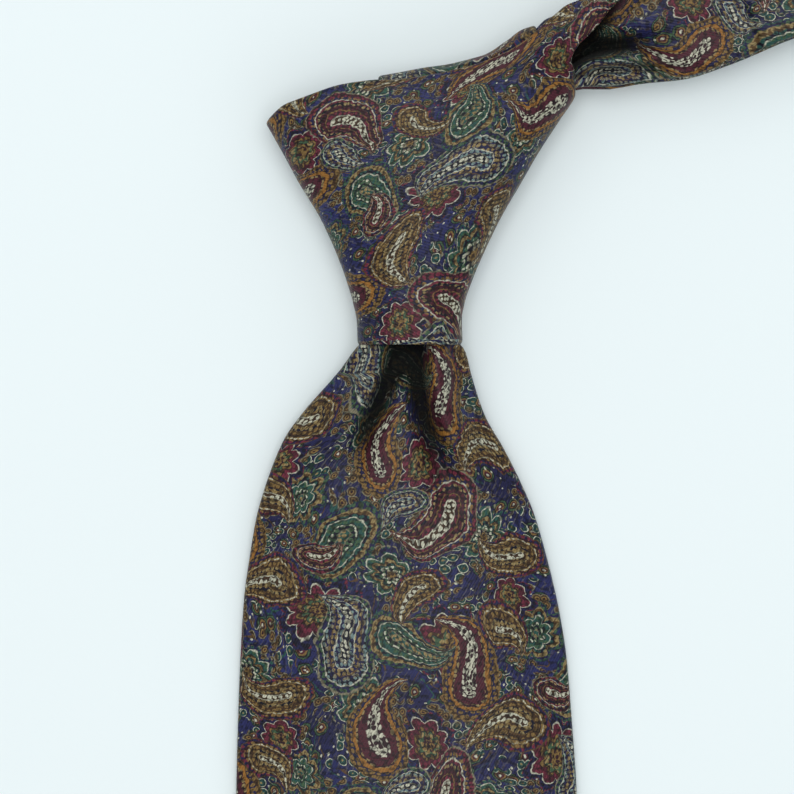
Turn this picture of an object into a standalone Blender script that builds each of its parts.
"""A silk necktie, tied in a four-in-hand knot and lying flat with its front up.

Metres, +Z up. The tie lies on the plane z = 0. The design frame has its origin on that plane under
the middle of the knot's lower edge: the front blade runs along -Y, the knot along +Y, and the neck
loop leaves the knot's top right corner. At the end the whole tie is moved so that the origin is at
the bottom centre of its box.

The tie is one folded strip of silk. It is divided here where it changes direction inside the knot,
where its real seams are, and where it bends or slides:
  knot        wraps that form the knot, and the blade's root that comes down through them
  front_blade wide apron in front, with its interlining, tipping, keeper, labels and stitching
  tail        narrow end behind, which slides through the knot
  neck_base   two strands of the neck loop, which lift off the table together
  neck_turn   far end of the loop, which comes nearer as the tail is pulled
"""

import math

import bmesh
import bpy
from mathutils import Matrix, Vector

MM = 0.001

# Driving dimensions, in millimetres.
BLADE_LENGTH = 440.0
BLADE_WIDTH = 90.0
TAIL_LENGTH = 330.0
TAIL_WIDTH = 44.0
NECK_WIDTH = 34.0
NECK_STRAND = 190.0
FOLDED_THICKNESS = 3.2
SILK = 0.6
GAP = 0.3
KNOT_WALL = 2.2
KNOT_HEIGHT_LOW, KNOT_HEIGHT_TOP = 18.6, 24.5
HEM = 9.0

# Where pieces sit, in millimetres in the design frame.
BLADE_HINGE = (0.0, -8.0, 14.4)
TABLE_EDGE = FOLDED_THICKNESS / 2 + 0.15
TAIL_THIN, TAIL_BUNCHED = 3.0, 3.4
TAIL_MID_HIGH, TAIL_MID_LOW = 4.3, 2.35
TAIL_TOP_Y = 36.0
KEEPER_Y, KEEPER_LENGTH, KEEPER_HALF = -215.0, 15.0, 27.0
LABEL_Y, LABEL_SIZE = -186.0, (46.0, 22.0)
CARE_Y, CARE_SIZE = -243.0, (24.0, 32.0)
NECK_START = Vector((36.5, 68.5))
NECK_HEADING, NECK_CURVE = math.radians(16.0), math.radians(11.0)
NECK_HINGE_RUN, NECK_FIRST, NECK_LEG = 1.8, 3.5, 60.0
NECK_UPPER_Z = 15.2

# Colour, roughness and metallic of each material.
MATERIALS = {
    "silk": ((0.045, 0.045, 0.12, 1.0), 0.55, 0.0),
    "interlining": ((0.72, 0.69, 0.62, 1.0), 0.95, 0.0),
    "tipping": ((0.02, 0.025, 0.075, 1.0), 0.4, 0.0),
    "label": ((0.03, 0.035, 0.09, 1.0), 0.6, 0.0),
    "care_label": ((0.85, 0.85, 0.82, 1.0), 0.7, 0.0),
    "thread": ((0.03, 0.03, 0.09, 1.0), 0.7, 0.0),
}


def through(*points):
    """A smooth function through (place, value) points that never overshoots them."""
    places = [p for p, _ in points]
    values = [v for _, v in points]
    rises = [
        (values[i + 1] - values[i]) / (places[i + 1] - places[i])
        for i in range(len(points) - 1)
    ]
    slopes = [rises[0]]
    for before, after in zip(rises, rises[1:]):
        same_way = before * after > 0
        slopes.append(2 * before * after / (before + after) if same_way else 0.0)
    slopes.append(rises[-1])

    def value(place):
        if place <= places[0]:
            return values[0]
        if place >= places[-1]:
            return values[-1]
        i = max(k for k in range(len(places) - 1) if places[k] <= place)
        span = places[i + 1] - places[i]
        t = (place - places[i]) / span
        bend = (1 - t) ** 2 * t * slopes[i] - t * t * (1 - t) * slopes[i + 1]
        step = t * t * (3 - 2 * t)
        return values[i] + step * (values[i + 1] - values[i]) + bend * span

    return value


# ---------------------------------------------------------------- shapes

def material(name):
    made = bpy.data.materials.get(name)
    if made is None:
        made = bpy.data.materials.new(name)
        made.use_nodes = True
        shader = made.node_tree.nodes["Principled BSDF"]
        colour, roughness, metallic = MATERIALS[name]
        shader.inputs["Base Color"].default_value = colour
        shader.inputs["Roughness"].default_value = roughness
        shader.inputs["Metallic"].default_value = metallic
    return made


def empty(name, place, parent=None):
    """An empty at place, in millimetres in the design frame. A moving body hangs on one on its axis."""
    made = bpy.data.objects.new(name, None)
    bpy.context.scene.collection.objects.link(made)
    made.location = Vector(place) * MM
    made.parent = parent
    return made


def add_object(name, data, material_name, parent):
    """Adds a mesh or curve drawn in the design frame, with its origin at its parent empty."""
    obj = bpy.data.objects.new(name, data)
    bpy.context.scene.collection.objects.link(obj)
    data.materials.append(material(material_name))
    data.transform(Matrix.Translation(-parent.location))
    obj.parent = parent
    return obj


def loft(name, rings, material_name, parent, capped=True):
    """Bridges rings of points (millimetres) into one skin, with flat caps unless it stays open."""
    made = bmesh.new()
    loops = []
    for ring in rings:
        verts = [made.verts.new(Vector(p) * MM) for p in ring]
        loops.append([made.edges.new((a, b)) for a, b in zip(verts, verts[1:] + verts[:1])])
    for first, second in zip(loops, loops[1:]):
        bmesh.ops.bridge_loops(made, edges=first + second)
    if capped:
        bmesh.ops.contextual_create(made, geom=loops[0])
        bmesh.ops.contextual_create(made, geom=loops[-1])
    bmesh.ops.recalc_face_normals(made, faces=made.faces)
    mesh = bpy.data.meshes.new(name)
    made.to_mesh(mesh)
    made.free()
    mesh.shade_smooth()
    mesh.set_sharp_from_angle(angle=math.radians(50))
    return add_object(name, mesh, material_name, parent)


def hollow(obj, wall):
    """Turns an open skin into a wall of that thickness, inside it."""
    solidify = obj.modifiers.new("wall", "SOLIDIFY")
    solidify.thickness = wall * MM
    solidify.offset = -1
    solidify.use_even_offset = True
    return obj


def extruded(name, outline, low, high, material_name, parent):
    """A flat plate with that outline in XY, from z = low to z = high."""
    rings = [[(x, y, z) for x, y in outline] for z in (low, high)]
    return loft(name, rings, material_name, parent)


def folded_section(half_width, thickness, count):
    """A folded strip's cross-section: flat faces and rounded edges, as (across, up) points."""
    radius = thickness / 2
    flat = max(half_width - radius, 0.05)
    per_face = count // 2 - 3
    top = [flat - 2 * flat * i / per_face for i in range(per_face + 1)]
    points = [(a, radius) for a in top]
    points += [(-flat - radius * 0.8, radius * 0.6), (-flat - radius * 0.8, -radius * 0.6)]
    points += [(-a, -radius) for a in top]
    points += [(flat + radius * 0.8, -radius * 0.6), (flat + radius * 0.8, radius * 0.6)]
    return points


def crown(across, half_width):
    """How far a point of the strip has dropped towards the table: 0 in the middle, 1 at the edge."""
    side = min(1.0, abs(across) / half_width)
    return (max(0.0, side - 0.3) / 0.7) ** 2


# ---------------------------------------------------------------- front blade

# Distance from the knot down the blade against the distance of each edge from the middle line.
BLADE_SHOULDER = BLADE_LENGTH - BLADE_WIDTH / 2
LEFT_EDGE = through(
    (0, 13.3), (16.7, 25.2), (29.3, 32.1), (41.7, 36.2), (60.7, 39.8), (107, 41.8),
    (250, 43.8), (BLADE_SHOULDER, BLADE_WIDTH / 2),
)
RIGHT_EDGE = through(
    (0, 13.0), (7, 14.4), (16.7, 17.9), (32, 26.2), (51, 32.9), (75, 37.6), (107, 40.0),
    (250, 43.0), (BLADE_SHOULDER, BLADE_WIDTH / 2),
)
BLADE_MID = through((0, 11.6), (12, 11.1), (60, 9.8), (140, 9.2), (250, 8.4), (392, 6.2), (437, 2.0))
BLADE_EDGE_Z = through((0, 9.8), (40, 4.2), (85, TABLE_EDGE), (BLADE_LENGTH, TABLE_EDGE))
BLADE_THICKNESS = through((0, 5.6), (20, 4.8), (60, 3.4), (100, FOLDED_THICKNESS))
BLADE_STOPS = (10, 17, 25, 35, 48, 64, 84, 105, 130, 165, 200, 235, 270, 305, 335, 365, 395)
TIP_STOPS = (408, 420, 430, 437)


def blade_outline(down):
    """(middle line's x, half width) of the front blade, so far down from the knot."""
    left, right = LEFT_EDGE(down), RIGHT_EDGE(down)
    point = max(0.0, BLADE_LENGTH - down)
    half = min((left + right) / 2, point)
    return (right - left) / 2, half


def blade_ring(down, inset=0.0, low=None, high=None):
    """A ring of the blade. It can be inset from the edge, and cut to a layer between low and high."""
    middle, half = blade_outline(down)
    thickness = BLADE_THICKNESS(down)
    floor = BLADE_MID(down)
    drop = floor - min(BLADE_EDGE_Z(down), floor)
    wide = max(half - inset, 0.4)
    if low is None:
        low, high = -thickness / 2, thickness / 2
    section = folded_section(wide, high - low, 32)
    lift = (high + low) / 2
    return [
        (middle + a, -down, floor - drop * crown(a, max(half, 0.5)) + lift + b)
        for a, b in section
    ]


def back_cutter(name, apex, shoulder, tip, half, parent):
    """A prism that opens the back of a folded end, where its lining shows."""
    outline = [(0, apex), (-half, shoulder), (0, tip), (half, shoulder)]
    cutter = extruded(name, outline, -5.0, 1.7, "silk", parent)
    cutter.hide_render = True
    cutter.display_type = "WIRE"
    return cutter


def cut(obj, cutter):
    boolean = obj.modifiers.new("opening", "BOOLEAN")
    boolean.object = cutter
    boolean.solver = "EXACT"


def front_blade(parent):
    stops = BLADE_STOPS + TIP_STOPS
    shell = loft("front_blade_shell", [blade_ring(d) for d in stops], "silk", parent, capped=False)
    hollow(shell, SILK)
    cutter = back_cutter(
        "front_back_opening", -(BLADE_SHOULDER - 45), -BLADE_SHOULDER,
        -(BLADE_LENGTH - HEM * 1.6), BLADE_WIDTH / 2 - HEM, parent,
    )
    cut(shell, cutter)

    inner = SILK + GAP + 0.1
    lining_stops = [d for d in stops if 10 < d < 425]
    rings = []
    for d in lining_stops:
        high = BLADE_THICKNESS(d) / 2 - inner
        low = -high if d < 330 else 0.05
        rings.append(blade_ring(d, inset=inner + 0.8, low=low, high=high))
    loft("front_interlining", rings, "interlining", parent)

    tipping_stops = (348, 365, 380, 395, 408, 420, 428)
    rings = [blade_ring(d, inset=inner + 1.2, low=-0.65, high=-0.35) for d in tipping_stops]
    loft("front_tipping", rings, "tipping", parent)


def keeper_and_labels(parent):
    """What is sewn to the back of the blade: the keeper that holds the tail, and two blank labels."""
    underside = BLADE_MID(-KEEPER_Y) - FOLDED_THICKNESS / 2 - 0.1
    top, thick = underside - GAP, 0.9
    strap = top - 1.3
    reach, foot = KEEPER_HALF, 7.0
    drop = 0.4 + (BLADE_MID(-KEEPER_Y) - TABLE_EDGE) * crown(reach, blade_outline(-KEEPER_Y)[1])
    outline = [
        (-reach, top - drop), (-reach + foot, top - 0.6), (-reach + foot + 1, strap),
        (reach - foot - 1, strap), (reach - foot, top - 0.6), (reach, top - drop),
        (reach, top - drop - thick), (reach - foot + 1.2, strap - thick),
        (-reach + foot - 1.2, strap - thick), (-reach, top - drop - thick),
    ]
    rings = [
        [(x, KEEPER_Y + side * KEEPER_LENGTH / 2, z) for x, z in outline] for side in (-1, 1)
    ]
    loft("keeper_loop", rings, "silk", parent)
    for name, y, size, kind in (
        ("maker_label", LABEL_Y, LABEL_SIZE, "label"),
        ("care_label", CARE_Y, CARE_SIZE, "care_label"),
    ):
        high = BLADE_MID(-y) - FOLDED_THICKNESS / 2 - 1.35
        low = high - 0.45
        half_x, half_y = size[0] / 2, size[1] / 2
        corner = 1.5
        outline = [
            (half_x, -half_y + corner), (half_x, half_y - corner), (half_x - corner, half_y),
            (-half_x + corner, half_y), (-half_x, half_y - corner), (-half_x, -half_y + corner),
            (-half_x + corner, -half_y), (half_x - corner, -half_y),
        ]
        steps = [(x, y + v) for x, v in outline]
        plate = extruded(name, steps, low, high, kind, parent)
        bevel = plate.modifiers.new("edge", "BEVEL")
        bevel.width = 0.1 * MM
        bevel.segments = 1


def seam_thread(name, points, parent):
    """The slip stitch that closes a back seam: one running thread."""
    curve = bpy.data.curves.new(name, "CURVE")
    curve.dimensions = "3D"
    curve.bevel_depth = 0.22 * MM
    curve.bevel_resolution = 2
    curve.use_fill_caps = True
    spline = curve.splines.new("POLY")
    spline.points.add(len(points) - 1)
    for point, place in zip(spline.points, points):
        point.co = (*[c * MM for c in place], 1.0)
    return add_object(name, curve, "thread", parent)


def bar_tack(name, y, under, parent):
    """The dense bar of stitches that ends a back seam, just below the cloth's underside."""
    rings = []
    for x, size in ((-3.2, 0.12), (-2.6, 0.24), (2.6, 0.24), (3.2, 0.12)):
        rings.append(
            [
                (x, y + 2 * size * math.cos(a), under - GAP - 0.24 + size * math.sin(a))
                for a in (math.tau * k / 10 for k in range(10))
            ]
        )
    loft(name, rings, "thread", parent)


def front_stitching(parent):
    stop, count = 338.0, 60
    points = []
    for k in range(count):
        down = 30.0 + (stop - 30.0) * k / (count - 1)
        under = BLADE_MID(down) - BLADE_THICKNESS(down) / 2 - GAP - 0.28
        points.append((0.5 * (-1) ** k, -down, under))
    seam_thread("front_slip_stitch", points, parent)
    bar_tack("front_bar_tack", -343.5, BLADE_MID(343.5) - FOLDED_THICKNESS / 2, parent)


# ---------------------------------------------------------------- tail

# Distances are down from the knot's lower edge, so the end held inside the knot is negative.
TAIL_SHOULDER = TAIL_LENGTH - TAIL_WIDTH / 2
TAIL_HALF = through((-TAIL_TOP_Y, 8.4), (80, 8.4), (130, 18.0), (TAIL_SHOULDER, TAIL_WIDTH / 2))
TAIL_MID = through((-TAIL_TOP_Y, TAIL_MID_HIGH), (80, TAIL_MID_HIGH), (150, TAIL_MID_LOW))
TAIL_THICKNESS = through((-TAIL_TOP_Y, TAIL_BUNCHED), (80, TAIL_BUNCHED), (130, TAIL_THIN))
TAIL_STOPS = (
    -TAIL_TOP_Y, 0, 35, 80, 90, 100, 112, 125, 138, 150, 200, 250, 290, 308, 315, 322, 327.5,
)
TAIL_SEAM = (44.0, 262.0)


def tail_ring(down, inset=0.0, low=None, high=None):
    half = min(TAIL_HALF(down), TAIL_LENGTH - down)
    thickness = TAIL_THICKNESS(down)
    if low is None:
        low, high = -thickness / 2, thickness / 2
    lift = (high + low) / 2
    return [
        (a, -down, TAIL_MID(down) + lift + b)
        for a, b in folded_section(max(half - inset, 0.4), high - low, 16)
    ]


def tail(parent):
    shell = loft("tail_shell", [tail_ring(d) for d in TAIL_STOPS], "silk", parent, capped=False)
    hollow(shell, SILK)
    cutter = back_cutter(
        "tail_back_opening", -(TAIL_SHOULDER - 28), -TAIL_SHOULDER,
        -(TAIL_LENGTH - HEM), TAIL_WIDTH / 2 - HEM * 0.7, parent,
    )
    cut(shell, cutter)
    inner = SILK + GAP
    rings = []
    for d in [d for d in TAIL_STOPS if d < 318]:
        high = TAIL_THICKNESS(d) / 2 - inner
        low = -high if d < 240 else 0.1
        rings.append(tail_ring(d, inset=inner + 0.8, low=low, high=high))
    loft("tail_interlining", rings, "interlining", parent)
    rings = [
        tail_ring(d, inset=inner + 1.0, low=-0.5, high=-0.25) for d in (272, 290, 308, 315, 320)
    ]
    loft("tail_tipping", rings, "tipping", parent)


def tail_stitching(parent):
    count = 44
    points = []
    for k in range(count):
        down = TAIL_SEAM[0] + (TAIL_SEAM[1] - TAIL_SEAM[0]) * k / (count - 1)
        under = TAIL_MID(down) - TAIL_THICKNESS(down) / 2 - GAP - 0.26
        points.append((0.4 * (-1) ** k, -down, under))
    seam_thread("tail_slip_stitch", points, parent)
    bar_tack("tail_bar_tack", -(TAIL_SEAM[1] + 5), TAIL_MID_LOW - TAIL_THIN / 2, parent)


# ---------------------------------------------------------------- knot

# The knot's outline from its lower edge (0) to its top edge (1), as (x, y) of each side.
KNOT_LEFT_X = through(
    (0, -12.8), (0.18, -14.4), (0.4, -17.8), (0.62, -24.0), (0.85, -30.8), (1, -34.5),
)
KNOT_LEFT_Y = through((0, 0.0), (0.18, 9.5), (0.4, 22.3), (0.62, 34.6), (0.85, 46.5), (1, 53.1))
KNOT_RIGHT_X = through(
    (0, 12.6), (0.15, 13.2), (0.35, 18.0), (0.6, 28.5), (0.8, 37.8), (0.86, 39.6), (1, 33.0),
)
KNOT_RIGHT_Y = through(
    (0, 0.0), (0.15, 10.2), (0.35, 24.6), (0.6, 42.0), (0.8, 57.0), (0.86, 61.5), (1, 76.0),
)
KNOT_ROWS = (0.0, 0.08, 0.18, 0.3, 0.42, 0.54, 0.66, 0.76, 0.86, 0.93, 1.0)


def knot_plan(across, along):
    """The point of the knot's plan at across -1..1 and along 0..1."""
    t = (across + 1) / 2
    x = KNOT_LEFT_X(along) * (1 - t) + KNOT_RIGHT_X(along) * t
    y = KNOT_LEFT_Y(along) * (1 - t) + KNOT_RIGHT_Y(along) * t
    return x, y


def knot_height(along):
    return KNOT_HEIGHT_LOW + (KNOT_HEIGHT_TOP - KNOT_HEIGHT_LOW) * along


def dome(across, power=3.2):
    """The rounded profile of the knot's front, 1 in the middle and 0 at the sides."""
    return (1 - min(1.0, abs(across)) ** power) ** (1 / power)


def front_wrap(parent):
    """The outer wrap: the front of the knot and both its sides, open behind."""
    count = 18
    rings = []
    for along in KNOT_ROWS:
        half = math.dist(knot_plan(-1, along), knot_plan(1, along)) / 2
        inner_share = 1 - KNOT_WALL / half
        height = knot_height(along)
        turns = [math.pi * (1 - k / count) for k in range(count + 1)]
        outer = [math.copysign(abs(math.cos(a)) ** 0.65, math.cos(a)) for a in turns]
        ring = [(*knot_plan(s, along), height * dome(s)) for s in outer]
        ring += [
            (*knot_plan(s * inner_share, along), (height - KNOT_WALL) * dome(s))
            for s in reversed(outer)
        ]
        rings.append(ring)
    loft("knot_front_wrap", rings, "silk", parent)


def knot_layer(name, rows, across, low, high, parent):
    """A layer inside the knot that follows its plan, as a slab between two heights."""
    rings = []
    for along in rows:
        steps = [-across + 2 * across * k / 8 for k in range(9)]
        top = [(*knot_plan(s, along), high) for s in steps]
        bottom = [(*knot_plan(s, along), low) for s in reversed(steps)]
        rings.append(top + bottom)
    return loft(name, rings, "silk", parent)


def knot_layers(parent):
    """Behind the front wrap, from the table up: back wrap, first cross, and the blade's root."""
    rows = (0.02, 0.25, 0.5, 0.75, 0.97)
    back = knot_layer("knot_back_wrap", rows, 0.72, 0.0, 2.2, parent)
    bevel = back.modifiers.new("roll", "BEVEL")
    bevel.width = 0.8 * MM
    bevel.segments = 2
    knot_layer("knot_first_cross", (0.3, 0.45, 0.6, 0.75), 0.62, 6.4, 8.4, parent)
    path = [
        (-5.6, 11.2), (-2.9, 11.2), (-0.6, 11.2), (12.0, 11.9), (28.0, 13.4), (44.0, 15.4),
        (58.0, 17.0), (64.5, 15.8), (67.0, 13.0), (65.2, 10.4), (60.0, 9.6), (56.5, 9.4),
    ]
    half_width = [15.5, 12.8, 7.8, 8.6, 10.5, 14.5, 19.0, 20.0, 20.0, 19.0, 17.0, 15.0]
    thickness = [4.6, 4.6, 4.6, 4.4, 4.2, 4.0, 3.6, 3.2, 3.0, 2.8, 2.6, 2.4]
    lean = [0, 0, 0, 0.02, 0.08, 0.16, 0.24, 0.28, 0.28, 0.28, 0.26, 0.24]
    rings = []
    for k, (y, z) in enumerate(path):
        before, after = path[max(k - 1, 0)], path[min(k + 1, len(path) - 1)]
        run, rise = after[0] - before[0], after[1] - before[1]
        length = math.hypot(run, rise)
        up = (-rise / length, run / length)
        rings.append(
            [
                (a, y + up[0] * b + lean[k] * a, z + up[1] * b)
                for a, b in folded_section(half_width[k], thickness[k], 16)
            ]
        )
    loft("knot_over_pass", rings, "silk", parent)


# ---------------------------------------------------------------- neck loop

def neck_plan(run):
    """(x, y, heading) of the loop's middle line, so far out from the knot's corner."""
    steps = 40
    x, y = NECK_START
    for k in range(steps):
        heading = NECK_HEADING + NECK_CURVE * (k + 0.5) / steps * run / NECK_STRAND
        x += math.cos(heading) * run / steps
        y += math.sin(heading) * run / steps
    return x, y, NECK_HEADING + NECK_CURVE * run / NECK_STRAND


def neck_point(run, height):
    x, y, _ = neck_plan(run)
    return x, y, height


NECK_HALF = through((0, 9.5), (18, 11.5), (60, NECK_WIDTH / 2), (NECK_STRAND, NECK_WIDTH / 2))
NECK_UPPER = through((0, NECK_UPPER_Z), (60, 15.8), (NECK_STRAND, NECK_UPPER_Z))


def neck_ring(run, height, thickness, inset, count, tilt=0.0):
    """A ring across a strand. Tilt turns it in the strand's own upright plane, for the far turn."""
    x, y, heading = neck_plan(run)
    along = Vector((math.cos(heading), math.sin(heading), 0))
    across = Vector((-math.sin(heading), math.cos(heading), 0))
    up = Vector((0, 0, 1)) * math.cos(tilt) + along * math.sin(tilt)
    middle = Vector((x, y, height))
    return [
        tuple(middle + across * a + up * b)
        for a, b in folded_section(NECK_HALF(run) - inset, thickness, count)
    ]


def neck_strand(name, height, parent):
    runs = (NECK_FIRST, 12, 24, 40, 60, 95, NECK_STRAND - NECK_LEG)
    rings = [neck_ring(r, height(r), FOLDED_THICKNESS, 0, 16) for r in runs]
    hollow(loft(f"{name}_shell", rings, "silk", parent, capped=False), SILK)
    inner = SILK + GAP
    thick = FOLDED_THICKNESS - 2 * inner
    rings = [neck_ring(r, height(r), thick, inner + 0.8, 12) for r in runs]
    loft(f"{name}_interlining", rings, "interlining", parent)


def neck_turn(parent):
    """The far end of the loop, where the strip turns back under itself."""
    begin = NECK_STRAND - NECK_LEG + 0.5
    radius = (NECK_UPPER(NECK_STRAND) - TABLE_EDGE) / 2
    middle = TABLE_EDGE + radius
    legs = (begin, begin + 20, begin + 40, NECK_STRAND - 6)
    stations = [(run, NECK_UPPER(run), 0.0) for run in legs]
    turns = 8
    for k in range(turns + 1):
        angle = math.pi * k / turns
        stations.append(
            (NECK_STRAND + radius * math.sin(angle), middle + radius * math.cos(angle), angle)
        )
    stations += [(run, TABLE_EDGE, math.pi) for run in reversed(legs)]
    rings = [neck_ring(r, z, FOLDED_THICKNESS, 0.0, 16, tilt) for r, z, tilt in stations]
    hollow(loft("neck_turn_shell", rings, "silk", parent, capped=False), SILK)
    inner = SILK + GAP
    thick = FOLDED_THICKNESS - 2 * inner
    rings = [neck_ring(r, z, thick, inner + 0.8, 12, tilt) for r, z, tilt in stations]
    loft("neck_turn_interlining", rings, "interlining", parent)


# ---------------------------------------------------------------- assembly

def clear_scene():
    for obj in list(bpy.data.objects):
        bpy.data.objects.remove(obj)


def centre_on_base(root):
    """Moves the tie so that the origin is at the bottom centre of its box."""
    bpy.context.view_layer.update()
    graph = bpy.context.evaluated_depsgraph_get()
    corners = []
    for obj in root.children_recursive:
        if obj.type == "EMPTY" or obj.hide_render:
            continue
        evaluated = obj.evaluated_get(graph)
        mesh = evaluated.to_mesh()
        corners += [evaluated.matrix_world @ v.co for v in mesh.vertices]
        evaluated.to_mesh_clear()
    low = Vector(min(c[k] for c in corners) for k in range(3))
    high = Vector(max(c[k] for c in corners) for k in range(3))
    root.location = (-(low.x + high.x) / 2, -(low.y + high.y) / 2, -low.z)
    bpy.context.view_layer.update()
    print("design frame origin is at", tuple(round(c, 6) for c in root.location))


def print_joints(root):
    """Prints each joint's place and axis in world coordinates, for the record."""
    turn_middle = NECK_STRAND - NECK_LEG / 2
    for name, run in (("neck_hinge", NECK_HINGE_RUN), ("neck_turn_slide", turn_middle)):
        heading = neck_plan(run)[2]
        print(name, "along", round(math.cos(heading), 5), round(math.sin(heading), 5))
    for obj in root.children:
        if obj.type == "EMPTY":
            print(obj.name, "at", tuple(round(c, 5) for c in obj.matrix_world.translation))


def main():
    clear_scene()
    knot = empty("tie", (0, 0, 0))
    blade = empty("blade_hinge", BLADE_HINGE, knot)
    tail_slide = empty("tail_slide", (0, 0, TAIL_MID_HIGH), knot)
    hinge = neck_point(NECK_HINGE_RUN, NECK_UPPER(0) + FOLDED_THICKNESS / 2 + GAP)
    neck_base = empty("neck_hinge", hinge, knot)
    front_wrap(knot)
    knot_layers(knot)
    front_blade(blade)
    keeper_and_labels(blade)
    front_stitching(blade)
    tail(tail_slide)
    tail_stitching(tail_slide)
    neck_strand("neck_upper", NECK_UPPER, neck_base)
    neck_strand("neck_lower", lambda run: TABLE_EDGE, neck_base)
    turn_place = neck_point(NECK_STRAND - NECK_LEG, NECK_UPPER(0))
    neck_turn(empty("neck_turn_slide", turn_place, knot))
    centre_on_base(knot)
    print_joints(knot)


main()
